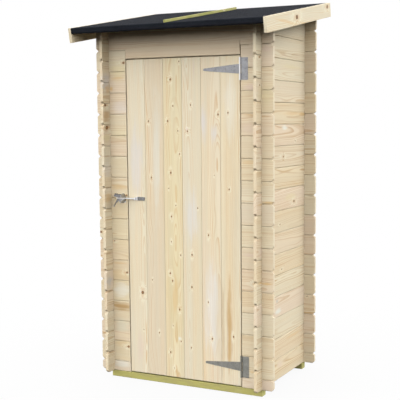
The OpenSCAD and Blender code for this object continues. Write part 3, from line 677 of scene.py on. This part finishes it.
COLUMN_STAINS = [
    (0.030, 1.395, 0.045, 0.045, RUSSET, 0.75), (0.030, 1.560, 0.045, 0.060, LILAC, 0.45),
    (0.030, 1.330, 0.045, 0.022, BROWN, 0.55), (0.045, 1.530, 0.025, 0.030, AMBER, 0.50),
    (0.025, 0.500, 0.035, 0.040, (0.66, 0.62, 0.56), 0.60),
    (0.030, 0.447, 0.040, 0.009, BROWN, 0.60), (0.030, 0.655, 0.045, 0.009, BROWN, 0.50),
    (0.030, 0.950, 0.045, 0.035, AMBER, 0.55),
    (0.030, 1.110, 0.040, 0.060, (0.78, 0.72, 0.64), 0.45),
    (0.030, 0.110, 0.045, 0.010, BROWN, 0.40), (0.030, 1.178, 0.045, 0.005, BROWN, 0.50),
    (0.030, 1.010, 0.045, 0.006, BROWN, 0.40), (0.030, 0.785, 0.045, 0.007, BROWN, 0.35),
    (0.030, 1.270, 0.045, 0.030, YELLOW, 0.60),
]
BARGE_STAINS = [
    (0.250, 0.075, 0.200, 0.010, AMBER, 0.45), (0.470, 0.090, 0.150, 0.006, AMBER, 0.35),
]


def own_pine(node, place, table, tones, **grain):
    return wood("pine_" + node, *tones, stains=streaks(place, node, table), **grain)


# Each wall: which way its boards run, how its places are given, and its stains.
WALLS = {
    "wall_back": (X, on_front, ()),
    "wall_left": (Y, on_side, COLUMN_STAINS),
    "wall_right": (Y, on_side, SIDE_STAINS),
    "wall_front_left": (X, on_front, LEFT_STAINS),
    "wall_front_right": (X, on_front, RIGHT_STAINS),
}
for name, (along, place, table) in WALLS.items():
    material = own_pine(name, place, table, WALL_TONES, **WALL_GRAIN) if table else WALL
    dress(name, material, along, knots=large_knots(name, place), every=1.6, size=(0.003, 0.006))
dress("wall_front_header", WALL, X, every=0.5, size=(0.004, 0.006), lots=[(0.36, 0.9, 0.75)])
door_pine = own_pine("door_boards", on_front, DOOR_STAINS, DOOR_TONES, contrast=1.6, shade=0.16)
dress("door_boards", door_pine, Z, knots=door_knots())
barge_pine = own_pine("barge_board_right", on_side, BARGE_STAINS, PINE_TONES,
                      contrast=1.25, ring=0.0062)
dress("barge_board_right", barge_pine, knots=large_knots("barge_board_right", on_side),
      lots=[(0.98, 0.12, 0.20)])

# The other boards: their wood, the size of their knots, their nodes.
OTHER_BOARDS = (
    # The roof boards and eaves battens take the darkened wood: painted shade.
    (SHADED_DECK, (0.003, 0.008), ("roof_deck", "eaves_batten_front", "eaves_batten_back")),
    (PINE, (0.003, 0.008), (
        "floor_boards", "door_post_left", "door_post_right", "door_head", "barge_board_left",
        "door_ledge_top", "door_ledge_middle", "door_ledge_bottom",
        "door_brace_upper", "door_brace_lower",
    )),
    (TREATED, (0.003, 0.007), ("bearer_front", "bearer_back")),
    (GREEN, (0.002, 0.004), ("felt_batten",)),
)
for material, size, nodes in OTHER_BOARDS:
    for name in nodes:
        dress(name, material, every=0.7, size=size)


# ---------------------------------------------------------------- metal, felt, fasteners


def paint(node, material):
    slots = frame["nodes"][node].material_slots
    for slot in slots:
        slot.material = material


def head(bm, at, out, radius, height, cross, turn):
    """A round screw head with a sunk cross, or a nail's flat head, on a surface."""
    side = out.orthogonal().normalized()
    side = Matrix.Rotation(turn, 3, out) @ side
    up = out.cross(side)
    rows = [(1.0, -0.1), (1.0, 0.35), (0.93, 0.62), (0.78, 0.85), (0.52, 1.0)]
    if not cross:
        rows = [(1.0, -0.2), (1.0, 0.6), (0.90, 0.92), (0.60, 1.0)]
    count = 24
    rings = []
    for r, h in rows:
        rings.append([
            bm.verts.new(at + out * height * h
                         + (side * math.cos(a) + up * math.sin(a)) * radius * r)
            for a in (2 * math.pi * k / count for k in range(count))
        ])
    for low, high in zip(rings, rings[1:]):
        for k in range(count):
            bm.faces.new((low[k], low[(k + 1) % count], high[(k + 1) % count], high[k]))
    bm.faces.new(reversed(rings[0]))
    if not cross:
        bm.faces.new(rings[-1])
        return
    # The recess: twelve corners of a cross on the crown, sunk towards its middle.
    arm, web = 0.42, 0.10
    corners = [(arm, -web), (arm, web), (web, web), (web, arm), (-web, arm), (-web, web),
               (-arm, web), (-arm, -web), (-web, -web), (-web, -arm), (web, -arm), (web, -web)]

    def cut(scale, h):
        return [bm.verts.new(at + out * height * h + (side * x + up * y) * radius * scale)
                for x, y in corners]

    rim, bottom = cut(1.0, 1.0), cut(0.80, 0.25)
    crown = rings[-1]
    for k in range(len(corners)):
        a, b = rim[k], rim[(k + 1) % len(corners)]
        c = bottom[(k + 1) % len(corners)], bottom[k]
        bm.faces.new((a, b, *c))
        i = 2 * k - 1
        bm.faces.new((crown[i % count], crown[(i + 1) % count], crown[(i + 2) % count], b, a))
    bm.faces.new(bottom)


def fasteners(name, body, material, heads):
    """One piece of many heads. Each is (point, outward normal, radius, height, cross)."""
    bm = bmesh.new()
    rng = random.Random(name)
    for at, out, radius, height, cross in heads:
        head(bm, Vector(at), out, radius, height, cross, rng.uniform(0, math.pi))
    bmesh.ops.recalc_face_normals(bm, faces=bm.faces)
    for face in bm.faces:
        face.smooth = True
    mesh = bpy.data.meshes.new(name)
    bm.to_mesh(mesh)
    bm.free()
    mesh.materials.append(material)
    mesh.set_sharp_from_angle(angle=math.radians(40))
    piece = bpy.data.objects.new(name, mesh)
    bpy.context.scene.collection.objects.link(piece)
    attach(piece, body)


PAINT = {
    "roof_felt": FELT, "latch_housing": LIGHT_ZINC, "latch_rivet": LIGHT_ZINC,
    "latch_striker": HIGHLIT_STRIKER_ZINC, "latch_pawl": DARK_ZINC,
}
for name, material in PAINT.items():
    paint(name, material)
for name in frame["nodes"]:
    if name.startswith("hinge"):
        paint(name, OLIVE_ZINC if name.endswith("lower") else HIGHLIT_KNUCKLE_ZINC)

# Heads: radius, height, and whether it has a cross.
LEAF_SCREW, STRAP_SCREW = (0.0040, 0.0018, True), (0.0036, 0.0018, True)
LATCH_SCREW, LEDGE_SCREW = (0.0034, 0.0018, True), (0.0032, 0.0012, True)
FLOOR_NAIL, BATTEN_NAIL = (0.0028, 0.0004, False), (0.0030, 0.0005, False)
FELT_NAIL = (0.0050, 0.0006, False)
OUT = -Y
BATTEN_H = 0.013
HOUSING_DROP = 0.0197  # how far the latch housing's screws are below the bar


def hinge_screws(level, metal):
    """Three screws in the leaf on the jamb and five in the strap on the door."""
    low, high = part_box("hinge_leaf_" + level)
    mid = (low[2] + high[2]) / 2
    fasteners("leaf_screws_" + level, "frame", metal, [
        ((high[0] - 0.012, hinge_face, mid + z), OUT, *LEAF_SCREW) for z in (-0.041, 0.0, 0.041)
    ])
    low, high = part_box("hinge_strap_" + level)
    places = [(high[0] - 0.038, 0.011), (high[0] - 0.038, -0.011), (high[0] - 0.085, 0.0),
              (high[0] - 0.140, 0.0), (low[0] + 0.012, 0.0)]
    fasteners("strap_screws_" + level, "door", metal, [
        ((x, hinge_face, mid + z), OUT, *STRAP_SCREW) for x, z in places
    ])


def latch_screws():
    """Two screws in the striker's plate and two in the housing's."""
    low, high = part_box("latch_striker")
    bar_z = (low[2] + high[2]) / 2
    fasteners("striker_screws", "door", ZINC, [
        ((high[0] - x, high[1] - 0.004, bar_z), OUT, *STRAP_SCREW) for x in (0.010, 0.032)
    ])
    low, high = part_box("latch_housing")
    fasteners("latch_screws", "frame", ZINC, [
        ((x, high[1] - PLATE, bar_z - HOUSING_DROP), OUT, *LATCH_SCREW)
        for x in (low[0] + 0.011, high[0] - 0.011)
    ])


def ledge_screws():
    """Two screws for each door board in each ledge, and three along each brace."""
    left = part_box("door_boards")[0][0]
    heads = []
    for name in ("door_ledge_top", "door_ledge_middle", "door_ledge_bottom"):
        under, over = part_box(name)
        for k in range(len(DOOR_KNOTS_A_BOARD)):
            x = left + DOOR_BOARD_W * (k + 0.5)
            for side in (-1, 1):
                spot = min(max(x + side * 0.026, under[0] + 0.014), over[0] - 0.014)
                z = (under[2] + over[2]) / 2 + side * 0.022
                heads.append(((spot, over[1], z), Y, *LEDGE_SCREW))
    for name in ("door_brace_lower", "door_brace_upper"):
        under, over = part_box(name)
        slope = Vector((over[0] - under[0], 0, over[2] - under[2]))
        for share in (0.10, 0.5, 0.90):
            at = Vector((under[0], over[1], under[2])) + slope * share
            heads.append((tuple(at), Y, *LEDGE_SCREW))
    fasteners("ledge_screws", "door", ZINC, heads)


def floor_nails():
    """Two nails at each end of each floor board, into the bearers."""
    bm = bmesh.new()
    bm.from_mesh(frame["nodes"]["floor_boards"].data)
    bmesh.ops.remove_doubles(bm, verts=bm.verts, dist=WELD)
    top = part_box("floor_boards")[1][2]
    heads = []
    for group in islands(bm):
        x0, x1 = min(v.co.x for v in group), max(v.co.x for v in group)
        y0, y1 = min(v.co.y for v in group), max(v.co.y for v in group)
        if y1 - y0 > x1 - x0:
            heads += [((x0 + (x1 - x0) * share, y, top), Z, *FLOOR_NAIL)
                      for share in (0.25, 0.75) for y in (y0 + 0.012, y1 - 0.012)]
    bm.free()
    fasteners("floor_nails", "frame", DARK_ZINC, heads)


def roof_nails():
    """Nails in the felt batten, and in the felt along both verges."""
    low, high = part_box("felt_batten")
    under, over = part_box("roof_felt")
    pitch = math.atan2(high[2] - low[2] - BATTEN_H, high[1] - low[1])
    out = Vector((0, -math.sin(pitch), math.cos(pitch)))

    def on_batten(x, y):
        """A point in the plane of the batten's upper face."""
        back = high[1] - BATTEN_H * math.sin(pitch)
        return Vector((x, y, high[2] - (back - y) * math.tan(pitch)))

    middle = (low[0] + high[0]) / 2
    heads = [(tuple(on_batten(middle, y)), out, *BATTEN_NAIL)
             for y in (-0.415, -0.23, -0.04, 0.15, 0.335)]
    drop = out * (BATTEN_H + 0.0003)
    for x in (under[0] + 0.014, over[0] - 0.014):
        for k in range(11):
            y = under[1] + 0.045 + k * (over[1] - under[1] - 0.085) / 10
            heads.append((tuple(on_batten(x, y) - drop), out, *FELT_NAIL))
    fasteners("roof_nails", "frame", ZINC, heads)


hinge_screws("upper", ZINC)
hinge_screws("lower", OLIVE_ZINC)
latch_screws()
ledge_screws()
floor_nails()
roof_nails()


# ---------------------------------------------------------------- stage, lights, camera


def floor():
    mesh = bpy.data.meshes.new("floor")
    bm = bmesh.new()
    bmesh.ops.create_circle(bm, cap_ends=True, radius=14.0, segments=96)
    bm.to_mesh(mesh)
    bm.free()
    piece = bpy.data.objects.new("floor", mesh)
    bpy.context.scene.collection.objects.link(piece)
    t = Tree("pale_floor")
    out = t.nodes["Material Output"]
    t.nodes.remove(t.shader)
    plain = t.add("ShaderNodeBsdfDiffuse")
    white = t.add("ShaderNodeEmission")
    where = t.add("ShaderNodeTexCoord").outputs["Object"]
    seen = t.seen()
    t.put(plain.inputs["Color"], t.mix(seen, (0.02, 0.02, 0.02), (0.60, 0.60, 0.60)))
    fade = t.map(t.vmath("LENGTH", where), 0.6, 2.6, 0.93, 1.0)
    mixed = t.add("ShaderNodeMixShader")
    t.links.new(t.math("MULTIPLY", seen, fade), mixed.inputs[0])
    t.links.new(plain.outputs[0], mixed.inputs[1])
    t.links.new(white.outputs[0], mixed.inputs[2])
    t.links.new(mixed.outputs[0], out.inputs["Surface"])
    mesh.materials.append(t.material)


def world(horizon, band, zenith):
    """A soft dome: its strength at the horizon, in the band where the studio's softboxes
    stand, and overhead. What the camera or a reflection sees of it is white."""
    t = Tree.of_world("studio")
    light = t.add("ShaderNodeBackground")
    white = t.add("ShaderNodeBackground")
    way = t.add("ShaderNodeTexCoord").outputs["Generated"]
    up = t.split(way)[2]
    low = t.map(up, 0.02, 0.22, horizon, band)
    strength = t.mix_value(t.map(up, 0.45, 0.80), low, zenith)
    t.put(light.inputs["Strength"], t.math("MULTIPLY", strength, t.map(up, 0.0, 0.03)))
    t.put(white.inputs["Color"], (1, 1, 1, 1))
    t.put(light.inputs["Color"], (1, 1, 1, 1))
    mixed = t.add("ShaderNodeMixShader")
    t.links.new(t.seen(), mixed.inputs[0])
    t.links.new(light.outputs[0], mixed.inputs[1])
    t.links.new(white.outputs[0], mixed.inputs[2])
    t.links.new(mixed.outputs[0], t.out.inputs["Surface"])


def lamp(name, azimuth, elevation, distance, size, power):
    """A soft square lamp that looks at the middle of the shed. Azimuth 0 is in front."""
    data = bpy.data.lights.new(name, "AREA")
    data.shape = "SQUARE"
    data.size = size
    data.energy = power
    piece = bpy.data.objects.new(name, data)
    bpy.context.scene.collection.objects.link(piece)
    a, e = math.radians(azimuth), math.radians(elevation)
    way = Vector((math.sin(a) * math.cos(e), -math.cos(a) * math.cos(e), math.sin(e)))
    middle = Vector((0, 0, cad_middle.z))
    piece.location = middle + way * distance
    piece.rotation_euler = (-way).to_track_quat("-Z", "Y").to_euler()


def camera():
    """Set at the photograph's view. Its frame is a crop, off the middle of the lens."""
    data = bpy.data.cameras.new("camera")
    data.sensor_width = 36.0
    data.lens = 78.6539
    data.shift_x, data.shift_y = -0.09899, 0.031514
    data.clip_end = 100.0
    piece = bpy.data.objects.new("camera", data)
    bpy.context.scene.collection.objects.link(piece)
    yaw, pitch, roll = 0.447431, 0.104847, -0.00454
    level = Vector((-math.sin(yaw), math.cos(yaw), 0))
    forward = level * math.cos(pitch) - Z * math.sin(pitch)
    right = Vector((math.cos(yaw), math.sin(yaw), 0))
    up = right.cross(forward)
    r = math.cos(roll) * right + math.sin(roll) * up
    u = -math.sin(roll) * right + math.cos(roll) * up
    turn = Matrix((r, u, -forward)).transposed().to_4x4()
    piece.matrix_world = Matrix.Translation((2.222566, -4.198302, 1.397869)) @ turn
    bpy.context.scene.camera = piece


cad_middle = (Vector(cad_box[0]) + Vector(cad_box[1])) / 2
floor()
world(1.27, 2.56, 1.04)
lamp("key", -20, 26, 5.0, 3.2, 13)
camera()
bpy.context.scene.view_settings.view_transform = "Standard"
